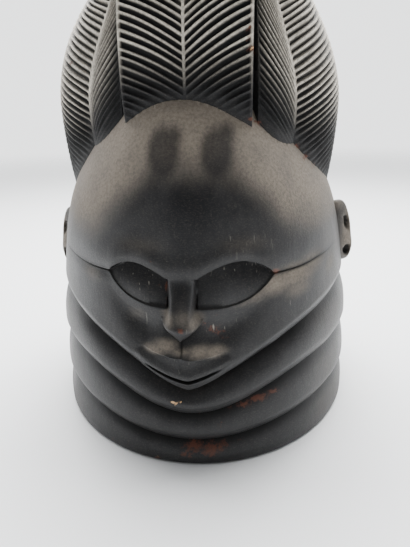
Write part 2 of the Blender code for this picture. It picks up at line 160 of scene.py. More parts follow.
def stationValue(stations, height, column):
    heights = [row[0] for row in stations]
    last = len(heights) - 1
    height = min(heights[-1], max(heights[0], height))
    k = max(i for i in range(last) if heights[i] <= height)

    def tangent(i):
        low, high = max(0, i - 1), min(last, i + 1)
        return (stations[high][column] - stations[low][column]) / (heights[high] - heights[low])

    span = heights[k + 1] - heights[k]
    t = (height - heights[k]) / span
    rise = stations[k + 1][column] - stations[k][column]
    start, end = tangent(k) * span, tangent(k + 1) * span
    return stations[k][column] + t * start + t * t * (3 * rise - 2 * start - end) + t ** 3 * (start + end - 2 * rise)


def oval(angle, halfWidth, front, back):
    depth = front if math.cos(angle) > 0 else back
    return 1.0 / math.hypot(math.sin(angle) / halfWidth, math.cos(angle) / depth)


def lineHeight(line, angle):
    front, rise, width, power = line
    turn = abs(math.degrees(angle) - neck["lineShift"]) / width
    return front + rise * (1.0 - math.exp(-turn ** power))


def neckRadius(angle, height):
    return (1.0 - neck["taper"] * height / (10.0 * cm)) * oval(angle, neck["halfWidth"], neck["front"], neck["back"])


def headRadius(angle, height):
    return oval(angle, *[stationValue(head["stations"], height, column) for column in (1, 2, 3)])


def eyeOuter(x):
    return face["eyeOuter"][0] if x < 0.0 else face["eyeOuter"][1]


def eyeShare(x):
    return (abs(x) - face["eyeInner"]) / (eyeOuter(x) - face["eyeInner"])


def eyeCorner(x):
    return face["eyeCorner"] - face["eyeTilt"] * ease(x / (3.0 * cm)) + face["eyeTilt"] * ease(-x / (3.0 * cm))


def creaseHeight(x):
    out = ease((abs(x) - eyeOuter(x) - 1.0 * cm) / (face["creaseEnd"] - eyeOuter(x)))
    return eyeCorner(x) + face["creaseRise"] * out


def lowerLid(x):
    share = eyeShare(x)
    if share >= 1.0:
        return creaseHeight(x)
    return eyeCorner(x) - face["lowerLidDrop"] * (1.0 - max(0.0, share) ** 3.2)


def upperLid(x):
    share = eyeShare(x)
    if share >= 1.0:
        return creaseHeight(x) + face["lidGap"]
    arch = math.sin(math.pi * max(0.0, share) ** 1.15) ** 0.8
    rise = face["upperLidRise"][0] if x < 0.0 else face["upperLidRise"][1]
    return eyeCorner(x) + face["lidGap"] + rise * arch


def noseFoot(x):
    return face["noseBase"] + face["noseBaseRise"] * min(1.0, abs(x) / face["nostrilHalfWidth"])


def mouthShare(x):
    return face["mouthShare"] + face["mouthTilt"] * max(-1.0, min(1.0, x / face["mouthHalfWidth"]))


def shelfShare(x):
    bow = 0.008 * bell(x, 0.35 * cm)
    return face["shelfShare"] - 0.055 * min(1.3, abs(x) / (2.2 * cm)) ** 2 + bow


def noseRise(x, share, height):
    # flat bridge that widens to a bulb; its underside is a slanting facet that ends in a point
    foot = noseFoot(x)
    brim = face["noseBase"] + face["noseBaseRise"] + 0.045
    step = ease((share - foot) / 0.030)
    facet = min(1.0, max(0.0, (share - foot) / max(0.02, brim - foot)))
    underside = step * (0.52 + 0.48 * ease(facet) ** 0.8)
    ridge = ease((face["noseRoot"] - height) / face["noseLength"]) ** 1.3
    flare = ease((1.0 - share) / (1.0 - face["nostrilShare"]))
    halfWidth = mixValue(face["bridgeHalfWidth"], face["nostrilHalfWidth"], flare)
    across = abs(x) / halfWidth
    flat = 1.0 - ease((across - 0.52) / 0.58) + 0.03 * ease(across / 0.5)
    bulb = math.sqrt(max(0.0, 1.0 - (across / 1.12) ** 2.4))
    return face["noseHeight"] * underside * ridge * max(0.0, mixValue(flat, bulb, flare * 0.8))


def mouthRise(x, share):
    # the dusty slope above the lip, its sharp edge, the smooth lip front and the mouth line
    edge = shelfShare(x)
    top, bottom = face["shelfHalfWidth"]
    base = noseFoot(x)
    below = ease((edge - share) / 0.16)
    slope = min(1.0, max(0.0, (base - share) / (base - edge)))
    halfWidth = mixValue(mixValue(top, bottom, slope), face["lipHalfWidth"], below)
    side = max(0.0, 1.0 - (abs(x) / halfWidth) ** 2.6)
    if share > edge:
        rise = face["shelfHeight"] * slope * side
    else:
        mouth = mouthShare(x)
        fall = 0.30 * ease((edge - share) / 0.025) - 0.16 * bell(share - mouth - 0.07, 0.06)
        lower = ease((mouth - share) / 0.10)
        rise = face["shelfHeight"] * (1.0 - fall) * side * (1.0 - 0.45 * lower)
    taper = 1.0 - ease((abs(x) / face["mouthHalfWidth"] - 0.55) / 0.50)
    gap = share - mouthShare(x)
    line = bell(gap, 0.019 if gap > 0.0 else 0.012) * taper
    # the short groove between the nose and the lip
    groove = face["grooveDepth"] * bell(x + face["grooveShift"], face["grooveHalfWidth"])
    groove *= ease((base + 0.02 - share) / 0.02) * ease((share - 0.25) / 0.15)
    return rise - face["mouthDepth"] * line - groove


def eyeCut(x, height):
    low, high = lowerLid(x), upperLid(x)
    gap = high - low
    inside = min(1.0, max(0.0, (height - low) / gap))
    step = ease((height - low) / min(0.09 * cm, 0.4 * gap)) * ease((high - height) / min(0.10 * cm, 0.4 * gap))
    share = eyeShare(x)
    if share >= 1.0:
        fade = 1.0 - ease((abs(x) - eyeOuter(x)) / (face["creaseEnd"] - eyeOuter(x)))
        return 0.45 * face["creaseDepth"] * fade * step
    if share < 0.0:
        return face["browOverhang"] * ease(1.0 + share / 0.06) * 0.6 * step
    slope = mixValue(face["lowerLidStep"], face["browOverhang"], inside)
    ball = face["eyeballBulge"] * math.sin(math.pi * inside) * math.sin(math.pi * share)
    return (slope * (1.0 - 0.55 * share ** 4) - ball) * step


def creaseValley(x, height):
    # rounded valley between forehead and cheek, from the eye's outer corner to the temple
    start = ease((eyeShare(x) - 0.85) / 0.25)
    fade = start * (1.0 - ease((abs(x) - eyeOuter(x)) / (face["creaseEnd"] - eyeOuter(x))))
    away = height - creaseHeight(x) - 0.5 * face["lidGap"]
    return 0.55 * face["creaseDepth"] * fade * bell(away, 0.75 * cm if away > 0.0 else 0.35 * cm)


def faceRise(angle, height, x):
    jaw, lid = lineHeight(neck["lines"][2], angle), lowerLid(x)
    share = (height - jaw) / (lid - jaw)
    cheek = face["cheekHollow"] * bell(abs(x) - face["cheekMiddle"], face["cheekHalfWidth"]) * bell(share - 0.72, 0.25)
    brow = face["browSwell"] * bell(height - upperLid(x) - 0.5 * cm, 0.5 * cm)
    brow *= 1.0 - ease((abs(x) - 3.0 * cm) / (4.0 * cm))
    rise = brow - cheek - eyeCut(x, height) - creaseValley(x, height)
    return rise + mouthRise(x, share) + noseRise(x, share, height)


def lipInset(above):
    # how far a roll is rounded off at this height above its lower edge
    return neck["lipRound"] * (1.0 - min(1.0, max(0.0, above) / neck["lipReach"])) ** 2


def neckColumn(angle):
    rows = []
    rim = neckRadius(angle, 0.0)
    for k in range(4):
        turn = math.pi / 2 * k / 3
        bevel = neck["rimBevel"]
        rows.append((rim - bevel * (1.0 - math.sin(turn)), bevel * (1.0 - math.cos(turn)), 0.0, 0.6))
    foot = neck["rimBevel"]
    front = bell(math.degrees(angle), 26.0)
    for number, line in enumerate(neck["lines"]):
        height = lineHeight(line, angle)
        outer = headRadius(angle, height) if number == 2 else neckRadius(angle, height)
        depth = neck["notchDepth"] * (0.75 + 0.25 * front) + (neck["chinUndercut"] * front if number == 2 else 0.0)
        top = height - neck["lipHeight"]
        notch = min(outer, neckRadius(angle, top)) - depth
        swell = neckRadius(angle, foot) - notch
        for k in range(1, neck["bodyRows"] + 1):
            share = 0.6 * k / neck["bodyRows"] + 0.4 * (1.0 - (1.0 - k / neck["bodyRows"]) ** 1.6)
            full = 1.0 - share ** neck["roundness"]
            inset = lipInset((top - foot) * share) if number else 0.0
            # painted shade: darker towards the notch under the lip of the roll above
            grime = ease((share - 0.62) / 0.38)
            worn = 0.7 * (1.0 - ease(share / 0.3))
            rows.append((notch + swell * full - inset, foot + (top - foot) * share, grime, worn))
        foot = height + 0.5 * neck["lipHeight"]
        outer -= neck["lipRound"]
        # painted shade in the notch fades out across the underside of the lip
        for k in range(1, neck["lipRows"] + 1):
            turn = math.pi / 2 * k / neck["lipRows"]
            up = 0.55 * k / neck["lipRows"] + 0.45 * (1.0 - math.cos(turn))
            rows.append((notch + (outer - notch) * math.sin(turn), mixValue(top, foot, up), 1.0 - k / neck["lipRows"],
                         ease(k / neck["lipRows"] * 2.0 - 1.0)))
    return rows


def headColumn(angle):
    jaw = lineHeight(neck["lines"][2], angle) + 0.5 * neck["lipHeight"]
    x = headRadius(angle, face["eyeCorner"]) * math.sin(angle)
    low, high = lowerLid(x), upperLid(x)
    mouth, edge, base = mouthShare(x), shelfShare(x), noseFoot(x)
    stops = ((0.0, 0), (mouth - 0.028, 5), (mouth, 4), (mouth + 0.032, 4), (edge - 0.024, 7), (edge, 4),
             (edge + 0.012, 2), (base - 0.003, 8), (base + 0.035, 5), (0.97, 11))
    line = lineHeight(neck["lines"][2], angle)
    heights = []
    for (start, _), (end, count) in zip(stops, stops[1:]):
        for k in range(1, count + 1):
            share = max(mixValue(start, end, k / count), 0.004 * (len(heights) + 1))
            heights.append(max(mixValue(line, low, share), jaw + 0.01 * cm * (len(heights) + 1)))
    gap = high - low
    near = min(1.0, gap / (0.5 * cm))
    heights += [low - 0.02 * cm * near, low + 0.02 * cm * near, low + 0.05 * cm * near, low + 0.09 * cm * near]
    heights += [mixValue(low + 0.09 * cm * near, high - 0.11 * cm * near, k / 10) for k in range(1, 10)]
    heights += [high - part * cm * near for part in (0.11, 0.08, 0.05, 0.025, 0.0)]
    heights += [high + part * cm for part in (0.06, 0.16, 0.3, 0.5)]
    top = head["stations"][-1][0]
    start = heights[-1]
    heights += [mixValue(start, top, (k / head["domeRows"]) ** 0.94) for k in range(1, head["domeRows"] + 1)]
    rows = []
    for height in heights:
        radius = headRadius(angle, height) - lipInset(height - jaw)
        grime = 0.0
        if abs(angle) < math.radians(face["edgeAngle"]):
            across = radius * math.sin(angle)
            radius += faceRise(angle, height, across)
            share = (height - line) / (low - line)
            nearFace = 1.0 - ease((abs(across) - 2.4 * cm) / (0.6 * cm))
            # painted shade along the lower lid, under the brow at the upper lid, in the mouth line, under the nose and
            # in the short groove below it
            grime = max(0.30 * bell(height - low - 0.02 * cm, 0.045 * cm), bell(height - high + 0.05 * cm, 0.10 * cm))
            grime *= 1.0 - ease((abs(across) - 8.0 * cm) / (2.0 * cm))
            grime *= ease((abs(across) - 0.66 * cm) / (0.16 * cm))
            grime = max(grime, nearFace * bell(share - mouth, 0.022))
            grime = max(grime, nearFace * bell(share - base, 0.03) * bell(across, 1.3 * cm))
            grime = max(grime, 0.9 * bell(across + 0.02 * cm, 0.07 * cm) * bell(share - base + 0.13, 0.07))
        rows.append((radius, height, grime, 0.8 * bell(height - jaw, 0.25 * cm)))
    return rows


def headAngles():
    frontRadius = 11.9 * cm
    # columns lie closest at the sides of the nose, and wider apart towards the ears
    places = [0.70 * cm * k / 6 for k in range(6)]
    places += [0.70 * cm + 0.36 * cm * k / 7 for k in range(7)]
    noseEdge, eyeEdge, count = 1.06 * cm, 5.7 * cm, head["faceColumns"] - 13
    places += [noseEdge + (eyeEdge - noseEdge) * k / count for k in range(count)]
    half = [math.asin(place / frontRadius) for place in places]
    start, side = math.asin(eyeEdge / frontRadius), math.pi / 2
    half += [mixValue(start, side, (k / head["sideColumns"]) ** 1.15) for k in range(head["sideColumns"])]
    half += [mixValue(side, math.pi, k / head["backColumns"]) for k in range(head["backColumns"] + 1)]
    return [-angle for angle in reversed(half[1:])] + half


def makeHead():
    angles = headAngles()
    profiles = [neckColumn(angle) + headColumn(angle) for angle in angles]

    def place(column, row):
        angle = angles[column]
        if abs(angle) > math.pi - 0.0001:
            angle = math.pi
        radius, height, grime, worn = profiles[column][row]
        point = (radius * math.sin(angle), -radius * math.cos(angle), height)
        unevenness = head["toolMarks"] * (1.6 * wander(point, 2.6 * cm) + wander(point, 1.1 * cm, 3.0))
        radius += unevenness * (ease(height / (0.5 * cm)) * ease(radius / (3.0 * cm)))
        return Vector((radius * math.sin(angle), -radius * math.cos(angle), height)), {"grime": grime, "worn": worn}

    return wrapGrid("maskHead", len(angles), len(profiles[0]), place)


# coiffure: a crest from front to back and a domed lobe on each side
coiffure = {
    "foot": 15.6 * cm, "pitch": 0.40 * cm, "depth": 0.19 * cm,
    # place of each row in a pitch, and how deep it is cut there
    "section": ((0.0, 0.0), (0.09, 0.04), (0.25, 0.78), (0.5, 1.0), (0.73, 0.84), (0.90, 0.05)),
    # where the dust begins, how much lower at the sides, over what height it thickens, how the grooves stay clear
    "dustFrom": 21.3 * cm, "dustDrop": 2.3 * cm, "dustRise": 4.4 * cm, "dustMost": 1.45, "dustCleared": 1.7,
    # less dust by this share on the crown, at the back and on the inner panels
    "crownLess": 0.45, "crownFrom": 26.0 * cm, "backLess": 0.4, "innerLess": 0.35,
    # painted shade in the slots, reaching this far in degrees on the right and left lobe
    "slotShade": 0.9, "shadeReach": (5.5, 9.0), "outerCut": 0.57, "steepen": 0.26,
    # the grooves of the inner panels spread apart away from the seam
    "fan": 0.30, "fanFrom": 4.5 * cm, "hairline": 1.0 * cm,
    "crestShift": 0.20 * cm, "lobeShift": 0.20 * cm, "slantFade": 8.0 * cm, "plainCrown": 2.2 * cm, "crownRows": 6,
    "slotDepth": 0.45 * cm, "wobble": 0.085 * cm,
}
crest = {
    "halfWidth": 3.5 * cm, "crown": 0.42 * cm, "front": 9.35 * cm, "top": 32.6 * cm, "belly": 22.3 * cm,
    "power": 2.3, "tuck": 0.08 / cm, "slant": 0.43, "rightSlant": 0.53, "seam": 0.07 * cm, "border": 0.11 * cm,
    "columns": 13,
}
lobe = {
    "axis": 3.4 * cm, "radius": 6.43 * cm, "belly": 21.0 * cm, "top": 31.0 * cm, "slot": 7.95 * cm,
    "seamAngle": 25.0, "seamTopAngle": 13.0, "seamReach": 6.6 * cm, "swell": 0.35 * cm,
    "innerSlant": 1.28, "outerSlant": 0.44,
    "turns": (0.0, 0.0, 1.2, 3.0, 4.2, 7.0, 10.0, 13.0, 16.0, 19.0, 21.8, 23.6, 24.5, 25.0, 25.5, 26.8, 31.0, 37.0,
              43.0, 50.0, 57.0, 64.0, 71.0, 78.0, 84.0, 90.0),
}


def domeHeight(share, belly, top):
    straight = 0.35
    if share < straight:
        return mixValue(coiffure["foot"], belly, share / straight)
    return mixValue(belly, top, math.sin((share - straight) / (1.0 - straight) * math.pi / 2))


def crestReach(height):
    if height < crest["belly"]:
        return crest["front"] - crest["tuck"] * (crest["belly"] - height) ** 2
    share = (height - crest["belly"]) / (crest["top"] - crest["belly"])
    return crest["front"] * max(0.0, 1.0 - share ** crest["power"]) ** (1.0 / crest["power"])


def lobeScale(height, power, root):
    if height < lobe["belly"]:
        return 1.0 - 0.03 * ((lobe["belly"] - height) / (3.5 * cm)) ** 2
    share = (height - lobe["belly"]) / (lobe["top"] - lobe["belly"])
    return max(0.0, 1.0 - share ** power) ** root


def arcTable(heightAt, reachAt, steps=1200):
    points = [(reachAt(heightAt(k / steps)), heightAt(k / steps)) for k in range(steps + 1)]
    lengths = [0.0]
    for k in range(steps):
        lengths.append(lengths[-1] + math.dist(points[k], points[k + 1]))
    return points, lengths


def atLength(table, length):
    points, lengths = table
    length = min(lengths[-1], max(0.0, length))
    low, high = 0, len(lengths) - 1
    while high - low > 1:
        middle = (low + high) // 2
        if lengths[middle] <= length:
            low = middle
        else:
            high = middle
    share = (length - lengths[low]) / (lengths[high] - lengths[low])
    return [mixValue(points[low][i], points[high][i], share) for i in (0, 1)]


crestArc = arcTable(lambda share: domeHeight(share, crest["belly"], crest["top"]), crestReach)
lobeArc = arcTable(lambda share: domeHeight(share, lobe["belly"], lobe["top"]),
                   lambda height: lobe["radius"] * lobeScale(height, 2.0, 1.0))


def crestPoint(x, length):
    reach, height = atLength(crestArc, length)
    ahead, behind = atLength(crestArc, length + 0.05 * cm), atLength(crestArc, length - 0.05 * cm)
    normal = Vector((0.0, -(ahead[1] - behind[1]), -(ahead[0] - behind[0]))).normalized()
    if length >= crestArc[1][-1]:
        normal = Vector((0.0, 0.0, 1.0))
    return Vector((x, -reach, height)) - normal * crest["crown"] * (x / crest["halfWidth"]) ** 2, normal


def lobePoint(turn, length):
    height = atLength(lobeArc, length)[1]
    slot = lobe["slot"] * lobeScale(height, 2.6, 0.6)
    seam = lobe["seamReach"] * lobeScale(height, 2.3, 0.6)
    side = lobe["radius"] * lobeScale(height, 2.0, 1.0)
    seamTurn = mixValue(lobe["seamAngle"], lobe["seamTopAngle"], ease((height - lobe["belly"]) / (7.0 * cm)))
    if turn < lobe["seamAngle"]:
        share = turn / lobe["seamAngle"]
        reach = mixValue(slot, seam, share) + lobe["swell"] * math.sin(math.pi * share) * slot / lobe["slot"]
        angle = math.radians(seamTurn * share)
    else:
        share = (turn - lobe["seamAngle"]) / (90.0 - lobe["seamAngle"])
        reach = mixValue(seam, side, ease(share))
        angle = math.radians(mixValue(seamTurn, 90.0, share))
    return Vector((lobe["axis"] + reach * math.sin(angle), -reach * math.cos(angle), height))


def lobeNormal(turn, length):
    point = lobePoint(turn, length)
    side = lobePoint(turn + 1.0, length) - point if turn < 89.0 else point - lobePoint(turn - 1.0, length)
    up = lobePoint(turn, length + 0.1 * cm) - lobePoint(turn, length - 0.1 * cm)
    normal = side.cross(up)
    return normal.normalized() if normal.length > 1e-12 else Vector((0.0, 0.0, 1.0))


def lobePlace(turn, length):
    return lobePoint(turn, length), lobeNormal(turn, length)


def grooveRows(total, highest):
    # start of each row along the hair and how deep it is cut
    rows = []
    end = total - coiffure["plainCrown"]
    count = round((end + highest) / coiffure["pitch"])
    for groove in range(count):
        for place, cut in coiffure["section"]:
            rows.append((-highest + (groove + place) * coiffure["pitch"], cut))
    rows.append((-highest + count * coiffure["pitch"], 0.0))
    start = rows[-1][0]
    crown = coiffure["crownRows"]
    rows += [(mixValue(start, total, k / crown), 0.0) for k in range(1, crown + 1)]
    return rows


def lean(x, middle):
    # the carver set the crest a little to one side and the left lobe fuller than the right
    if middle:
        return coiffure["crestShift"]
    left = coiffure["lobeShift"] * ease((-x - 6.0 * cm) / (2.5 * cm))
    right = coiffure["lobeShift"] * ease((x - 6.5 * cm) / (3.0 * cm))
    return coiffure["crestShift"] * (1.0 - ease((abs(x) - 3.6 * cm) / (3.0 * cm))) - left - right


def makeHair(name, total, columns, pointAt, side, seed):
    # columns: place across, rise, how deeply it is grooved, inset, and whether it runs back as a flat wall
    highest = max(column[1] for column in columns)
    rows = grooveRows(total, highest)
    both = rows + rows[-2::-1]
    full = len(rows)

    def place(column, number):
        back = number >= full
        start, cut = both[number]
        across, rise, depth, inset, wall = columns[column]
        outer = name != "maskCrest" and across > lobe["seamAngle"]
        if outer:
            # narrower grooves leave broad ridges on the outer panels
            cut = max(0.0, cut - coiffure["outerCut"]) / (1.0 - coiffure["outerCut"])
        flatten = 1.0 - ease((start - total + coiffure["slantFade"]) / coiffure["slantFade"])
        if name == "maskCrest" or outer:
            flatten *= 1.0 + coiffure["steepen"] * ease((start - 5.0 * cm) / (5.0 * cm))
        handSeed = seed + start / coiffure["pitch"] * 0.731 + (50.0 if back else 0.0)
        waver = noise.noise(Vector((handSeed, across * 0.35 / cm if abs(across) < 1.0 else across * 0.05, 4.0)))
        unit = 1.0 - ease((start - total + 1.5 * coiffure["plainCrown"]) / coiffure["plainCrown"])
        length = start + rise * flatten + coiffure["wobble"] * waver * unit * (1.0 if depth > 0.05 else 0.35)
        if name != "maskCrest" and not outer:
            apart = coiffure["fan"] * (1.0 - across / lobe["seamAngle"])
            apart *= 1.0 - ease((start - coiffure["fanFrom"] - 2.0 * cm) / (total - coiffure["fanFrom"] - 3.0 * cm))
            length += apart * max(0.0, start - coiffure["fanFrom"])
        length = min(total, max(0.0, length))
        fade = ease((total - coiffure["plainCrown"] - length + 1.0 * cm) / (1.2 * cm)) * ease(length / (0.3 * cm))
        strength = 1.0 + 0.22 * noise.noise(Vector((handSeed * 1.7, 9.0, across * 20.0)))
        point, normal = pointAt(across, length)
        clear = 1.0
        if point.z < head["stations"][-1][0]:
            gap = math.hypot(point.x, point.y) - headRadius(math.atan2(point.x, -point.y), point.z)
            clear = ease(gap / coiffure["hairline"])
        fade *= clear
        sunk = coiffure["depth"] * depth * cut * fade * strength
        slot = inset * ease(length / (1.0 * cm)) * (1.0 - ease((length - total + 4.0 * cm) / (3.0 * cm)))
        point = point - normal * (sunk + slot)
        if wall:
            point = Vector((point.x, 0.0, point.z))
        if back:
            point.y = -point.y
        point.x *= side
        point.x += lean(point.x, wall or name == "maskCrest")
        low = coiffure["dustFrom"] - coiffure["dustDrop"] * ease((abs(point.x) - 3.0 * cm) / (4.0 * cm))
        cutHere = depth * cut * fade
        level = ease((point.z - low) / coiffure["dustRise"])
        powder = min(1.0, max(0.0, coiffure["dustMost"] * level - coiffure["dustCleared"] * cutHere))
        # less of it on the smooth crown and at the back
        grooved = ease((total - coiffure["plainCrown"] - length + 1.0 * cm) / (1.2 * cm))
        powder *= 1.0 - coiffure["crownLess"] * ease((point.z - coiffure["crownFrom"]) / (3.5 * cm))
        powder *= 0.35 + 0.65 * grooved
        powder *= 1.0 - coiffure["backLess"] * ease((point.y + 2.5 * cm) / (5.0 * cm))
        # painted shade: the dust thins out close to the hairline
        powder *= clear * 0.84 + 0.45 * noise.noise(Vector((handSeed * 2.3, across * 9.0, start * 60.0)))
        # painted shade on the crest's side walls, in the slots and on the lobes' inner columns beside them
        paintedShade = coiffure["slotShade"] if wall or inset > 0.03 * cm else 0.0
        if name != "maskCrest":
            reach = coiffure["shadeReach"][0 if side > 0.0 else 1]
            paintedShade = max(paintedShade, coiffure["slotShade"] * (1.0 - ease((across - 1.0) / reach)))
            powder *= 1.0 - coiffure["innerLess"] * (1.0 - ease((across - 18.0) / 6.0))
        # painted shade in the hair grooves, weaker on the outer panels
        grooveShade = cutHere * (0.72 if outer else 1.0)
        return point, {"hair": 1.0, "groove": grooveShade, "powder": powder * (1.0 - paintedShade), "grime": paintedShade}

    return wrapGrid(name, len(columns), len(both), place)


def crestRise(x):
    # the grooves leave the middle steeply and level out towards the border
    share = abs(x) / crest["halfWidth"]
    slant = crest["rightSlant"] if x > 0.0 else crest["slant"]
    return slant * crest["halfWidth"] * (1.24 * share - 0.24 * share * share)


def makeCrest():
    # thin raised lines are left along the middle and both borders
    half, seam, border, count = crest["halfWidth"], crest["seam"], crest["border"], crest["columns"]
    inner, outer = seam, half - border
    places = [(0.0, 0.0), (seam * 0.75, 0.0), (seam * 1.5, 0.75)]
    places += [(mixValue(inner * 1.5, outer - 0.12 * cm, k / (count - 5)), 1.0) for k in range(1, count - 4)]
    places += [(outer, 0.1), (half - 0.05 * cm, 0.0), (half, 0.0)]
    right = [(x, crestRise(x), depth, 0.04 * cm if x == half else 0.0, False) for x, depth in places]
    wall = (half, crestRise(half), 0.0, 0.0, True)
    left = [(-x, crestRise(-x), depth, inset, flat) for x, rise, depth, inset, flat in [wall] + right[:0:-1]]
    return makeHair("maskCrest", crestArc[1][-1], left + right + [wall], crestPoint, 1.0, 3.3)


def makeLobe(name, side, seed):
    columns = []
    for number, turn in enumerate(lobe["turns"]):
        slant = lobe["innerSlant"] if turn < lobe["seamAngle"] else lobe["outerSlant"]
        rise = abs(math.radians(turn - lobe["seamAngle"])) * lobe["radius"] * slant
        fromSeam = abs(turn - lobe["seamAngle"])
        depth = ease((fromSeam - 0.5) / 1.2) * ease((turn - 3.2) / 1.2)
        inset = coiffure["slotDepth"] * (1.0 - ease((turn - 0.8) / 2.2))
        columns.append((turn, rise, depth, inset, number == 0))
    return makeHair(name, lobeArc[1][-1], columns, lobePlace, side, seed)


# ears and hollow
ear = {
    "centre": Vector((10.12 * cm, -2.3 * cm, 12.5 * cm)), "thick": 0.48 * cm, "wide": 0.97 * cm, "tall": 2.2 * cm,
    # angle between the ear's face and the side, how much lower the left ear sits, how far the lobe stands out
    "turn": 52.0, "drop": 0.26 * cm, "lean": 0.15, "square": (0.75, 0.62, 0.66),
    # place across and up, half width, half height and depth of the two hollows in the face
    "bowls": ((0.36 * cm, 0.62 * cm, 0.30 * cm, 0.55 * cm, 0.42 * cm),
              (0.30 * cm, -1.42 * cm, 0.38 * cm, 0.42 * cm, 0.46 * cm)),
}
hollow = {
    # height and half width
    "stations": [(height * cm, radius * cm) for height, radius in (
        (-1.0, 10.0), (3.0, 9.8), (8.0, 9.3), (12.5, 8.7), (16.5, 7.6), (20.0, 6.0), (22.4, 4.3), (24.0, 2.2), (24.6, 0.0),
    )],
    "depthRatio": 1.09, "shift": 0.4 * cm, "adzeMarks": 0.06 * cm, "columns": 72, "rows": 50,
}


def makeEar(name, side):
    deselectAll()
    bpy.ops.mesh.primitive_uv_sphere_add(segments=48, ring_count=40, radius=1.0)
    piece = bpy.context.object
    piece.name = name
    turn = math.radians(ear["turn"])
    outward = Vector((math.cos(turn), -math.sin(turn), 0.0))
    across = Vector((math.sin(turn), math.cos(turn), 0.0))
    grime = [0.0] * len(piece.data.vertices)
    for vertex in piece.data.vertices:
        squared = [math.copysign(abs(value) ** power, value) for value, power in zip(vertex.co, ear["square"])]
        out, wide, up = squared[0] * ear["thick"], squared[1] * ear["wide"], squared[2] * ear["tall"]
        sunk = 0.0
        for middle, height, halfWidth, halfHeight, depth in ear["bowls"]:
            reach = math.hypot((wide - middle) / halfWidth, (up - height) / halfHeight)
            sunk = max(sunk, depth * (1.0 - ease((reach - 0.45) / 0.75)))
        if squared[0] > 0.2:
            out -= sunk
            # painted shade in the ear's two hollows
            grime[vertex.index] = 0.95 * ease(sunk / (0.2 * cm))
        # the lobe stands out a little further, and the middle of the rim is drawn in
        wide *= 1.0 + 0.10 * bell(up + 1.1 * cm, 0.6 * cm) - 0.14 * ease((up - 0.2 * cm) / (1.6 * cm))
        place = ear["centre"] + outward * out + across * wide
        height = place.z + up + ear["drop"] * (side - 0.5)
        vertex.co = Vector((side * (place.x - ear["lean"] * up), place.y, height))
    mesh = piece.data
    for trait in traits:
        store(mesh, trait, grime if trait == "grime" else [0.0] * len(mesh.vertices))
    tidyMesh(piece)
    return piece


def makeHollow():
    columns, rows = hollow["columns"], hollow["rows"]
    stations = hollow["stations"]

    def place(column, row):
        turn = 2.0 * math.pi * (column % columns) / columns
        if row == 0:
            return Vector((0.0, hollow["shift"], stations[0][0])), {"inside": 1.0}
        share = (row - 1) / (rows - 2)
        height = mixValue(stations[0][0], stations[-1][0], 1.0 - (1.0 - share) ** 1.25)
        k = max(i for i in range(len(stations) - 1) if stations[i][0] <= height)
        low, high = stations[k], stations[k + 1]
        radius = mixValue(low[1], high[1], (height - low[0]) / (high[0] - low[0]))
        point = (radius * math.sin(turn), radius * math.cos(turn), height)
        radius += hollow["adzeMarks"] * wander(point, 1.8 * cm, 7.0) * ease(radius / (3.0 * cm))
        if row == rows - 1:
            radius = 0.0
        back = hollow["shift"] + radius * hollow["depthRatio"] * math.cos(turn)
        return Vector((radius * math.sin(turn), back, height)), {"inside": 1.0}

    return wrapGrid("maskHollow", columns + 1, rows, place)


def combine(piece, other, operation):
    modifier = piece.modifiers.new(other.name, "BOOLEAN")
    modifier.object = other
    modifier.operation = operation
    modifier.solver = "MANIFOLD"
    activate(piece)
    before = len(piece.data.polygons)
    bpy.ops.object.modifier_apply(modifier=modifier.name)
    print("combined", other.name, before, "->", len(piece.data.polygons))
    bpy.data.objects.remove(other)


def onDome(point):
    # whether a point lies on the smooth head near the hairline
    if point.z < coiffure["foot"] - 1.5 * cm or point.z > head["stations"][-1][0] - 0.1 * cm:
        return False
    radius = headRadius(math.atan2(point.x, -point.y), point.z)
    return abs(math.hypot(point.x, point.y) - radius) < 0.03 * cm


def makeMask():
    parts = [makeHead(), makeEar("earLeft", -1.0), makeEar("earRight", 1.0), makeCrest(),
             makeLobe("lobeRight", 1.0, 11.7), makeLobe("lobeLeft", -1.0, 23.1), makeHollow()]
    sources = []
    for part in parts:
        columns = []
        for trait in traits:
            column = [0.0] * len(part.data.vertices)
            part.data.attributes[trait].data.foreach_get("value", column)
            columns.append(column)
        sources += [(vertex.co.copy(), values) for vertex, values in zip(part.data.vertices, zip(*columns))]
    mask, others, space = parts[0], parts[1:-1], parts[-1]
    for other in others:
        combine(mask, other, "UNION")
    combine(mask, space, "DIFFERENCE")
    # the union's points take their traits from the nearest point of the parts
    tree = kdtree.KDTree(len(sources))
    for number, (point, values) in enumerate(sources):
        tree.insert(point, number)
    tree.balance()
    nearest = [sources[tree.find(vertex.co)[1]][1] for vertex in mask.data.vertices]
    # the hairline itself belongs to the forehead, with painted shade along it
    line = tuple(0.35 if trait == "grime" else 0.0 for trait in traits)
    nearest = [line if values[0] > 0.0 and onDome(vertex.co) else values
               for values, vertex in zip(nearest, mask.data.vertices)]
    attributes = mask.data.attributes
    for index, trait in enumerate(traits):
        if attributes.get(trait):
            attributes.remove(attributes[trait])
        if trait != "hair":
            store(mask.data, trait, [row[index] for row in nearest])
    # whole faces are hair or not, so that the hairline is drawn sharply
    isHair = [1.0 if any(nearest[corner][0] > 0.5 for corner in polygon.vertices) else 0.0
              for polygon in mask.data.polygons]
    store(mask.data, "hair", isHair, "FACE")
    mask.name = "carvedMask"
    # the ears touch the sides of the CAD box and must not pass them
    for vertex in mask.data.vertices:
        vertex.co.x = min(cadBox[1][0], max(cadBox[0][0], vertex.co.x)) * 0.9999
    activate(mask)
    bpy.ops.object.shade_smooth_by_angle(angle=math.radians(48.0))
    mask.data.calc_loop_triangles()
    print("mask triangles", len(mask.data.loop_triangles))
    return mask
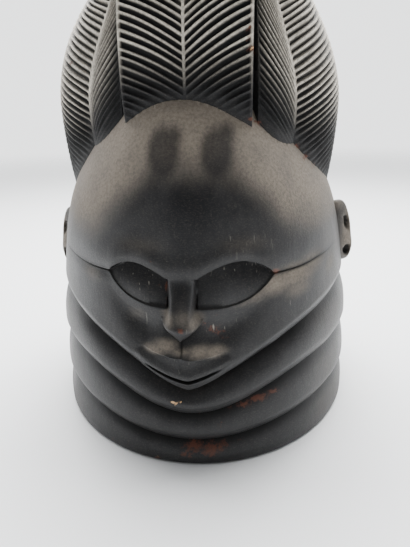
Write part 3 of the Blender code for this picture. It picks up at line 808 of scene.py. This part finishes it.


# marks that the mask's age and use have left, rubbed red-brown spots and bare wood, besides painted dark patches
# (painted dark reflection and painted shade) and a brown dust film with painted sheen
marks = {
    # x and height of the middle, half width, half height in cm, strength
    # painted dark reflection on the forehead, and painted shade under the nose, in the groove below it and beside the
    # nose and eyes
    "paintedDark": (
        (-0.85, 18.75, 1.05, 1.55, 1.5), (-0.35, 19.5, 0.7, 0.8, 1), (1.9, 18.7, 1, 1.5, 1.5),
        (2.3, 19.6, 0.7, 0.8, 1), (0.5, 15.6, 2.2, 1.5, 1.1), (-0, 16.8, 0.9, 0.78, 0.6),
        (1.4, 16.8, 0.9, 0.78, 0.6), (0.4, 14.2, 1.3, 1.2, 0.9), (0, 12, 0.5, 1.1, 0.8), (3, 12.2, 0.62, 0.41, 0.8),
        (3.4, 12.3, 0.28, 0.41, 0.6), (0.1, 11.7, 0.41, 0.68, 0.7), (-3.9, 10.2, 0.74, 0.51, 0.6),
        (4.1, 9.8, 0.85, 0.36, 0.6), (5.2, 9.8, 0.58, 0.29, 0.5), (6.7, 11.6, 0.66, 0.38, 0.4),
        (0, 8.95, 0.6, 0.28, 1.2), (-0.03, 8.55, 0.13, 0.45, 1.4),
    ),
    # brown dust film, partly painted sheen on the forehead, cheeks and sides of the head
    "filmAndSheen": (
        (4, 11.1, 1.28, 0.79, 0.6), (5.2, 11.5, 1.59, 0.89, 0.9), (6.4, 11.7, 1.65, 0.93, 0.9),
        (7.5, 12.1, 1.28, 0.96, 0.6), (6.6, 10.9, 1.24, 0.82, 0.6), (3.2, 10.8, 1.17, 0.6, 0.5),
        (-1.6, 8.12, 0.89, 0.3528, 0.9), (-0.9, 8.42, 0.98, 0.4896, 0.9), (0, 8.12, 0.89, 0.2808, 0.8),
        (1, 8.12, 0.98, 0.4896, 0.9), (1.8, 8.02, 0.89, 0.432, 0.9), (2.2, 8, 0.6, 0.3, 0.7),
        (-0.7, 10.2, 0.67, 0.58, 0.616), (0.2, 10.3, 0.84, 0.56, 0.476), (0.8, 10, 0.67, 0.58, 0.616),
        (0.1, 10.7, 0.47, 0.67, 0.2352), (-2.7, 9.9, 0.91, 0.61, 0.35), (-2.2, 14, 2.27, 0.75, 0.3),
        (3.4, 14, 2.26, 0.75, 0.3), (-5.8, 11.8, 1.07, 0.84, 0.4), (8.9, 11.5, 0.68, 1.14, 0.5),
        (10.9, 12.7, 1, 3.2, 0.95), (-10.9, 12.3, 1, 3.2, 0.9),
    ),
    "scuff": (
        (1.7, 9.3, 0.6, 0.35, 0.8), (2.1, 9, 0.51, 0.35, 0.7), (1.3, 9.6, 0.42, 0.33, 0.6),
        (2.4, 8.7, 0.42, 0.26, 0.6), (1.8, 10, 0.42, 0.26, 0.4), (-0.9, 11.6, 0.26, 0.42, 0.8),
        (-1.3, 11.7, 0.42, 0.33, 0.5), (-1.5, 10.7, 0.26, 0.17, 0.6), (-0.9, 10.9, 0.17, 0.68, 0.5),
        (5.2, 12.2, 0.35, 0.35, 0.9), (4.8, 12.5, 0.26, 0.17, 0.6), (5, 11.6, 0.35, 0.26, 0.5),
        (-1.5, 13.2, 0.48, 0.24, 0.5), (0.1, 9.8, 0.32, 0.41, 0.8), (-1.7, 13.1, 0.24, 0.17, 0.5),
        (4.4, 4.2, 0.93, 0.38, 0.9), (3.5, 3.9, 0.73, 0.27, 0.8), (2.6, 3.7, 0.55, 0.27, 0.6),
        (5.3, 4.4, 0.75, 0.29, 0.8), (6.1, 4.6, 0.46, 0.29, 0.5), (2, 2.9, 0.55, 0.36, 0.5),
        (0.8, 3.4, 0.46, 0.18, 0.5), (0.5, 1.2, 1.12, 0.57, 0.8), (1.5, 1, 1.03, 0.66, 0.9),
        (2.2, 1.2, 0.84, 0.57, 0.7), (0, 0.7, 0.75, 0.38, 0.7), (-1.9, 0.2, 0.38, 0.2, 0.8),
        (-2.6, 0.2, 0.29, 0.2, 0.5), (3.3, 1.4, 0.75, 0.38, 0.4), (-5.2, 0.4, 0.3, 0.2, 0.6),
        (3.6, 20.3, 0.32, 0.17, 0.9), (4, 20.1, 0.33, 0.17, 0.9), (4.3, 19.9, 0.26, 0.17, 0.6),
        (6.4, 18.7, 0.36, 0.27, 0.9), (7, 18.1, 0.38, 0.38, 0.8), (7.5, 17.5, 0.38, 0.38, 0.6),
        (0.6, 18.5, 0.3, 0.39, 0.35), (3.4, 24.5, 0.3, 0.22, 0.9), (3.4, 24.1, 0.3, 0.22, 0.9),
        (3.6, 23.6, 0.3, 0.22, 0.9), (-8, 23.4, 0.29, 0.96, 0.5), (-7.6, 23.8, 0.29, 0.38, 0.7),
        (-3.9, 10.3, 0.18, 0.18, 0.3),
    ),
    "bare": (
        (-0.75, 4.4, 0.22, 0.1, 1), (-0.45, 4.42, 0.2, 0.09, 0.9), (-0.6, 4.33, 0.12, 0.12, 0.9),
        (-0.2, 4.47, 0.12, 0.07, 0.8), (3.3, 24.5, 0.12, 0.08, 0.9), (3.4, 24.2, 0.12, 0.08, 0.8),
        (3.6, 23.6, 0.12, 0.12, 0.9), (-5.3, 0.4, 0.08, 0.08, 0.6), (-1.9, 0.3, 0.12, 0.07, 0.6),
        (0, 9.75, 0.07, 0.1, 0.6),
    ),
    "scratch": (
        (-2.4, 11.9, 1.33, 1.03, 0.8), (-1.9, 12.5, 0.59, 0.44, 0.6), (3, 12.5, 1.59, 0.72, 0.5),
        (1.6, 9.5, 1.47, 0.59, 0.8), (0.6, 10, 0.7, 0.27, 0.7), (-2.5, 10, 0.75, 0.6, 0.7),
        (0, 7.5, 0.88, 0.59, 0.5), (0.1, 12.5, 0.7, 0.7, 0.4), (3.7, 14.7, 3.48, 1.39, 0.25),
        (6.7, 10.1, 1.56, 1.09, 0.3),
    ),
}


def markValue(kind, point):
    # the marks lie on the front, so only the place across and the height count
    if point.y > 0.0:
        return 0.0
    x, z, most = point.x / cm, point.z / cm, 0.0
    for across, height, halfWidth, halfHeight, strength in marks[kind]:
        wide, tall = abs(x - across) / halfWidth, abs(z - height) / halfHeight
        if wide < 1.4 and tall < 1.4:
            most = max(most, strength * (1.0 - ease(math.hypot(wide, tall) / 1.4)))
    return most * ease((-point.y - 0.2 * cm) / (1.4 * cm))


def domeFilmAndSheen(point):
    # dust film and painted sheen on the dome above the forehead
    side = ease((abs(point.x - 0.5 * cm) - 1.5 * cm) / (5.0 * cm))
    dome = ease((point.z - 15.9 * cm + 3.3 * cm * side) / (3.6 * cm)) * (0.92 + 0.3 * wander(point, 1.5 * cm, 5.0))
    dome *= 1.0 + 0.25 * ease((point.z - 18.2 * cm) / (1.6 * cm))
    # and a thinner layer on the cheeks and rings towards the sides
    flank = 0.30 * ease((abs(point.x) - 5.5 * cm) / (4.0 * cm))
    flank *= 0.9 + 0.25 * wander(point, 1.6 * cm, 9.0)
    # and less of it at the back
    return max(0.90 * dome, flank) * (1.0 - 0.35 * ease((point.y + 2.0 * cm) / (4.0 * cm)))


def onEye(point):
    # the polished eyeballs hold hardly any dust
    share = eyeShare(point.x)
    if point.y > 0.0 or share < 0.0 or share > 1.0:
        return 0.0
    low, high = lowerLid(point.x), upperLid(point.x)
    return ease((point.z - low + 0.05 * cm) / (0.10 * cm)) * ease((high - point.z + 0.05 * cm) / (0.10 * cm))


def makeMarks(piece):
    mesh = piece.data
    for kind in marks:
        found = [markValue(kind, vertex.co) for vertex in mesh.vertices]
        if kind == "filmAndSheen":
            found = [max(value, domeFilmAndSheen(vertex.co)) * (1.0 - 0.85 * onEye(vertex.co))
                     for value, vertex in zip(found, mesh.vertices)]
        store(mesh, kind, found)
        print("marked", kind, sum(1 for value in found if value > 0.05))


mask = makeMask()
makeMarks(mask)
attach(mask, "root")
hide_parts("sowei_mask")


# blackened wood
def addNode(tree, kind, where, settings=None, inputs=None):
    node = tree.nodes.new(kind)
    node.location = where
    for key, value in (settings or {}).items():
        setattr(node, key, value)
    for key, value in (inputs or {}).items():
        node.inputs[key].default_value = value
    return node


def link(tree, source, target):
    tree.links.new(source, target)


patina = {
    "charcoal": (0.0045, 0.0045, 0.0052, 1.0), "grey": (0.020, 0.020, 0.021, 1.0),
    "paintedDark": (0.0028, 0.003, 0.0045, 1.0),
    "filmAndSheen": (0.215, 0.182, 0.146, 1.0), "dust": (0.72, 0.66, 0.56, 1.0), "paintedShade": (0.0016, 0.0016, 0.0018, 1.0),
    "rust": (0.092, 0.030, 0.016, 1.0), "bare": (0.72, 0.45, 0.22, 1.0), "raw": (0.085, 0.048, 0.028, 1.0),
    "toneScale": 26.0, "fineScale": 620.0, "fibreScale": 300.0, "specular": 0.32,
    # how strongly each layer shows
    "upFacingFilmAndSheen": 0.22, "paintedDarkStrength": 0.78, "grain": 0.085, "specks": 0.28, "grooveShading": 0.95, "rubbed": 0.95, "scratched": 0.38,
    "bumpDistance": 0.00035, "bumpStrength": 0.60,
}


def makePatchGroup():
    # turns a soft amount into a mask with a broken, grainy edge
    group = bpy.data.node_groups.new("brokenPatch", "ShaderNodeTree")
    group.interface.new_socket("Vector", in_out="INPUT", socket_type="NodeSocketVector")
    for name, value in (("Amount", 0.5), ("Scale", 100.0), ("Break", 0.6), ("Low", 0.3), ("High", 0.7)):
        group.interface.new_socket(name, in_out="INPUT", socket_type="NodeSocketFloat").default_value = value
    group.interface.new_socket("Mask", in_out="OUTPUT", socket_type="NodeSocketFloat")
    start = addNode(group, "NodeGroupInput", (-900, 0))
    end = addNode(group, "NodeGroupOutput", (500, 0))
    grain = addNode(group, "ShaderNodeTexNoise", (-650, 120), inputs={"Detail": 6.0, "Roughness": 0.72})
    centred = addNode(group, "ShaderNodeMath", (-450, 120), {"operation": "SUBTRACT"})
    centred.inputs[1].default_value = 0.5
    total = addNode(group, "ShaderNodeMath", (-250, 60), {"operation": "MULTIPLY_ADD"})
    cut = addNode(group, "ShaderNodeMapRange", (-50, 60), {"interpolation_type": "SMOOTHSTEP"})
    gate = addNode(group, "ShaderNodeMath", (150, 60), {"operation": "MULTIPLY", "use_clamp": True})
    ramp = addNode(group, "ShaderNodeMapRange", (-50, -240), {}, {"From Min": 0.0, "From Max": 0.12})
    for source, output, target, socket in (
            (start, "Vector", grain, "Vector"), (start, "Scale", grain, "Scale"), (grain, "Fac", centred, 0),
            (centred, 0, total, 0), (start, "Break", total, 1), (start, "Amount", total, 2),
            (total, 0, cut, "Value"), (start, "Low", cut, "From Min"), (start, "High", cut, "From Max"),
            (start, "Amount", ramp, "Value"), (cut, "Result", gate, 0), (ramp, "Result", gate, 1), (gate, 0, end, "Mask")):
        link(group, source.outputs[output], target.inputs[socket])
    return group


def makeWood():
    material = bpy.data.materials.new("blackenedWood")
    material.use_nodes = True
    tree = material.node_tree
    shader = tree.nodes["Principled BSDF"]
    shader.location = (1300, 0)
    tree.nodes["Material Output"].location = (1600, 0)
    place = addNode(tree, "ShaderNodeTexCoord", (-2600, 0)).outputs["Object"]
    patchGroup = makePatchGroup()
    column = [0]

    def trait(name):
        column[0] += 1
        return addNode(tree, "ShaderNodeAttribute", (-2600, -200 * column[0]), {"attribute_name": name}).outputs["Fac"]

    def noiseAt(scale, detail, roughness, stretch=None, turn=0.0):
        column[0] += 1
        vector = place
        if stretch:
            mapping = addNode(tree, "ShaderNodeMapping", (-2350, -200 * column[0]),
                              inputs={"Scale": stretch, "Rotation": (0.0, turn, 0.0)})
            link(tree, place, mapping.inputs["Vector"])
            vector = mapping.outputs["Vector"]
        texture = addNode(tree, "ShaderNodeTexNoise", (-2100, -200 * column[0]),
                          inputs={"Scale": scale, "Detail": detail, "Roughness": roughness})
        link(tree, vector, texture.inputs["Vector"])
        return texture.outputs["Fac"]

    def calculate(operation, first, second, third=None, clamp=False):
        column[0] += 1
        node = addNode(tree, "ShaderNodeMath", (-1600, -160 * column[0]), {"operation": operation, "use_clamp": clamp})
        for number, value in enumerate((first, second, third)):
            if value is None:
                continue
            if isinstance(value, float):
                node.inputs[number].default_value = value
            else:
                link(tree, value, node.inputs[number])
        return node.outputs[0]

    def spread(value, low, high, newLow=0.0, newHigh=1.0):
        column[0] += 1
        node = addNode(tree, "ShaderNodeMapRange", (-1350, -160 * column[0]), {"interpolation_type": "SMOOTHSTEP"},
                       {"From Min": low, "From Max": high, "To Min": newLow, "To Max": newHigh})
        link(tree, value, node.inputs["Value"])
        return node.outputs["Result"]

    def patch(amount, scale, broken, low, high):
        column[0] += 1
        node = addNode(tree, "ShaderNodeGroup", (-1100, -160 * column[0]), {"node_tree": patchGroup},
                       {"Scale": scale, "Break": broken, "Low": low, "High": high})
        link(tree, place, node.inputs["Vector"])
        link(tree, amount, node.inputs["Amount"])
        return node.outputs["Mask"]

    def blend(below, above, factor, kind="MIX"):
        column[0] += 1
        node = addNode(tree, "ShaderNodeMix", (-2000 + 110 * column[0], 300), {"data_type": "RGBA", "blend_type": kind})
        for name, value in (("A", below), ("B", above), ("Factor", factor)):
            if isinstance(value, (tuple, float)):
                node.inputs[name].default_value = value
            else:
                link(tree, value, node.inputs[name])
        return node.outputs["Result"]

    tone = noiseAt(patina["toneScale"], 5.0, 0.62)
    fine = noiseAt(patina["fineScale"], 4.0, 0.7)
    fibre = noiseAt(patina["fibreScale"], 5.0, 0.65, (1.0, 1.0, 0.07))
    turned = addNode(tree, "ShaderNodeSeparateXYZ", (-2350, 500))
    link(tree, addNode(tree, "ShaderNodeNewGeometry", (-2600, 500)).outputs["Normal"], turned.inputs[0])
    facingUp = spread(turned.outputs["Z"], 0.15, 0.95)
    hair, grime = trait("hair"), trait("grime")
    groove = calculate("MULTIPLY", trait("groove"), hair)

    colour = blend(patina["charcoal"], patina["grey"], spread(calculate("MULTIPLY_ADD", fibre, 0.35, calculate(
        "MULTIPLY", tone, 0.75)), 0.34, 0.76))
    # a thin brownish dust film with painted sheen lies on what faces up, and thicker where hands and cloth don't reach
    upFacingFilmAndSheen = calculate("MULTIPLY", facingUp, patina["upFacingFilmAndSheen"])
    filmAndSheen = patch(calculate("MAXIMUM", trait("filmAndSheen"), upFacingFilmAndSheen), 700.0, 0.24, 0.06, 1.05)
    filmAndSheen = calculate("MULTIPLY", filmAndSheen, calculate("SUBTRACT", 1.0, hair))
    colour = blend(colour, patina["filmAndSheen"], calculate("MULTIPLY", filmAndSheen, spread(fine, 0.30, 0.66, 0.62, 1.0)))
    # painted dark reflection and painted shade
    paintedDark = patch(trait("paintedDark"), 400.0, 0.22, 0.06, 1.0)
    colour = blend(colour, patina["paintedDark"], calculate("MULTIPLY", paintedDark, patina["paintedDarkStrength"]))
    # pale dust on the ridges of the hair, thinner towards the forehead
    powder = calculate("MULTIPLY", calculate("MULTIPLY", trait("powder"), hair), spread(fine, 0.26, 0.60, 0.45, 1.0))
    colour = blend(colour, patina["dust"], powder)
    grain = calculate("MULTIPLY", spread(noiseAt(900.0, 2.0, 0.6, (1.0, 1.0, 1.8)), 0.48, 0.70), patina["grain"])
    colour = blend(colour, patina["filmAndSheen"], grain)
    specks = calculate("MULTIPLY", spread(noiseAt(820.0, 2.0, 0.5), 0.73, 0.80), patina["specks"])
    colour = blend(colour, patina["filmAndSheen"], specks)
    # painted shade: near black in the hair grooves, in creases, slots, ear hollows and along the hairline
    paintedShade = calculate("MAXIMUM", calculate("MULTIPLY", groove, patina["grooveShading"]), grime)
    colour = blend(colour, patina["paintedShade"], paintedShade)
    scuff = patch(trait("scuff"), 400.0, 1.8, 0.42, 0.85)
    colour = blend(colour, patina["rust"], calculate("MULTIPLY", scuff, patina["rubbed"]))
    bare = patch(trait("bare"), 420.0, 0.9, 0.35, 0.60)
    colour = blend(colour, patina["bare"], bare)
    # short light scratches in two directions
    dashes = [spread(noiseAt(520.0, 1.0, 0.5, (1.0, 1.0, 0.12), turn), 0.70, 0.77) for turn in (0.5, -0.9)]
    scratch = calculate("MULTIPLY", calculate("MAXIMUM", dashes[0], dashes[1]), trait("scratch"), clamp=True)
    colour = blend(colour, patina["dust"], calculate("MULTIPLY", scratch, patina["scratched"]))
    inside = trait("inside")
    colour = blend(colour, patina["raw"], calculate("MULTIPLY", inside, spread(fibre, 0.25, 0.8, 0.55, 1.0)))
    link(tree, colour, shader.inputs["Base Color"])

    # dusty, bare and grooved wood is dull, the rest has an oily gleam
    dull = calculate("MAXIMUM", filmAndSheen, powder)
    dull = calculate("MAXIMUM", dull, calculate("MAXIMUM", inside, calculate("MULTIPLY", hair, 0.8)))
    roughness = calculate("MULTIPLY_ADD", tone, 0.30, calculate("MULTIPLY_ADD", trait("worn"), -0.08, 0.29))
    link(tree, calculate("MULTIPLY_ADD", dull, 0.40, roughness, clamp=True), shader.inputs["Roughness"])
    shader.inputs["Specular IOR Level"].default_value = patina["specular"]

    fineRelief = calculate("MULTIPLY", fine, calculate("MULTIPLY_ADD", dull, 0.8, 0.75))
    relief = calculate("MULTIPLY_ADD", fibre, 0.45, fineRelief)
    bump = addNode(tree, "ShaderNodeBump", (1000, -300), inputs={
        "Strength": patina["bumpStrength"], "Distance": patina["bumpDistance"]})
    link(tree, relief, bump.inputs["Height"])
    link(tree, bump.outputs["Normal"], shader.inputs["Normal"])
    return material


mask.data.materials.clear()
mask.data.materials.append(makeWood())
print("wood finished")


# camera, floor and light
view = {
    "distance": 0.324, "height": 0.203, "turn": 6.5, "pitch": 20.5, "roll": -1.2,
    "focalPixels": 411.0, "framePixels": 547.0, "sensor": 36.0,
}


def makeCamera():
    turn, pitch = math.radians(view["turn"]), math.radians(view["pitch"])
    data = bpy.data.cameras.new("camera")
    data.sensor_fit = "VERTICAL"
    data.sensor_height = view["sensor"]
    data.lens = view["focalPixels"] / view["framePixels"] * view["sensor"]
    data.clip_start = 0.01
    camera = bpy.data.objects.new("camera", data)
    bpy.context.scene.collection.objects.link(camera)
    camera.location = (view["distance"] * math.sin(turn), -view["distance"] * math.cos(turn), view["height"])
    forward = Vector((-math.sin(turn) * math.cos(pitch), math.cos(turn) * math.cos(pitch), -math.sin(pitch)))
    level = forward.to_track_quat("-Z", "Y")
    camera.rotation_euler = (level @ Quaternion((0.0, 0.0, 1.0), math.radians(view["roll"]))).to_euler()
    bpy.context.scene.camera = camera


studio = {
    "floor": (0.82, 0.83, 0.84, 1.0), "fadeFrom": 0.7, "fadeTo": 3.2,
    "tint": (0.975, 0.99, 1.0), "front": 0.19, "back": 2.5, "top": 2.6,
    # name, place, aims at, size, power
    "lights": (
        ("overhead", (0.0, 0.40, 1.05), (0.0, 0.05, 0.0), (1.1, 0.8), 60.0),
        ("leftWindow", (-0.9, 0.15, 0.45), (0.0, 0.0, 0.14), (0.5, 0.7), 3.0),
        ("rightPanel", (0.9, 0.15, 0.45), (0.0, 0.0, 0.14), (0.5, 0.7), 2.0),
    ),
}


def makeFloor():
    deselectAll()
    bpy.ops.mesh.primitive_circle_add(vertices=96, radius=4.0, fill_type="NGON", location=(0.0, 0.0, -0.0002))
    floor = bpy.context.object
    floor.name = "floor"
    material = bpy.data.materials.new("paleFloor")
    material.use_nodes = True
    tree = material.node_tree
    shader = tree.nodes["Principled BSDF"]
    shader.inputs["Base Color"].default_value = studio["floor"]
    shader.inputs["Roughness"].default_value = 0.6
    # the far floor thins out, so that no edge shows against the backdrop
    place = addNode(tree, "ShaderNodeTexCoord", (-900, -200))
    reach = addNode(tree, "ShaderNodeVectorMath", (-700, -200), {"operation": "LENGTH"})
    fade = addNode(tree, "ShaderNodeMapRange", (-450, -200), {"interpolation_type": "SMOOTHSTEP"},
                   {"From Min": studio["fadeFrom"], "From Max": studio["fadeTo"]})
    clear = addNode(tree, "ShaderNodeBsdfTransparent", (0, -300))
    mix = addNode(tree, "ShaderNodeMixShader", (400, 0))
    link(tree, place.outputs["Object"], reach.inputs[0])
    link(tree, reach.outputs["Value"], fade.inputs["Value"])
    link(tree, fade.outputs["Result"], mix.inputs[0])
    link(tree, shader.outputs[0], mix.inputs[1])
    link(tree, clear.outputs[0], mix.inputs[2])
    link(tree, mix.outputs[0], tree.nodes["Material Output"].inputs["Surface"])
    floor.data.materials.append(material)


def makeLights():
    for name, spot, aim, size, power in studio["lights"]:
        data = bpy.data.lights.new(name, "AREA")
        data.shape = "RECTANGLE"
        data.size, data.size_y = size
        data.energy = power
        lamp = bpy.data.objects.new(name, data)
        bpy.context.scene.collection.objects.link(lamp)
        lamp.location = spot
        lamp.rotation_euler = (Vector(aim) - Vector(spot)).to_track_quat("-Z", "Y").to_euler()
    # backdrop: bright behind and above, dimmer on the viewer's side
    world = bpy.data.worlds.new("studio")
    world.use_nodes = True
    tree = world.node_tree
    background = tree.nodes["Background"]
    place = addNode(tree, "ShaderNodeTexCoord", (-1100, 0))
    split = addNode(tree, "ShaderNodeSeparateXYZ", (-900, 0))
    behind = addNode(tree, "ShaderNodeMapRange", (-650, 150), {"interpolation_type": "SMOOTHSTEP"}, {
        "From Min": -0.35, "From Max": 0.75, "To Min": studio["front"], "To Max": studio["back"]})
    above = addNode(tree, "ShaderNodeMapRange", (-650, -150), {"interpolation_type": "SMOOTHSTEP"}, {
        "From Min": 0.30, "From Max": 0.85, "To Min": 0.0, "To Max": studio["top"] - studio["back"]})
    total = addNode(tree, "ShaderNodeMath", (-400, 0), {"operation": "ADD"})
    link(tree, place.outputs["Generated"], split.inputs[0])
    link(tree, split.outputs["Y"], behind.inputs["Value"])
    link(tree, split.outputs["Z"], above.inputs["Value"])
    link(tree, behind.outputs["Result"], total.inputs[0])
    link(tree, above.outputs["Result"], total.inputs[1])
    link(tree, total.outputs[0], background.inputs["Strength"])
    background.inputs["Color"].default_value = (*studio["tint"], 1.0)
    bpy.context.scene.world = world


makeCamera()
makeFloor()
makeLights()
print("camera, floor and lights placed")
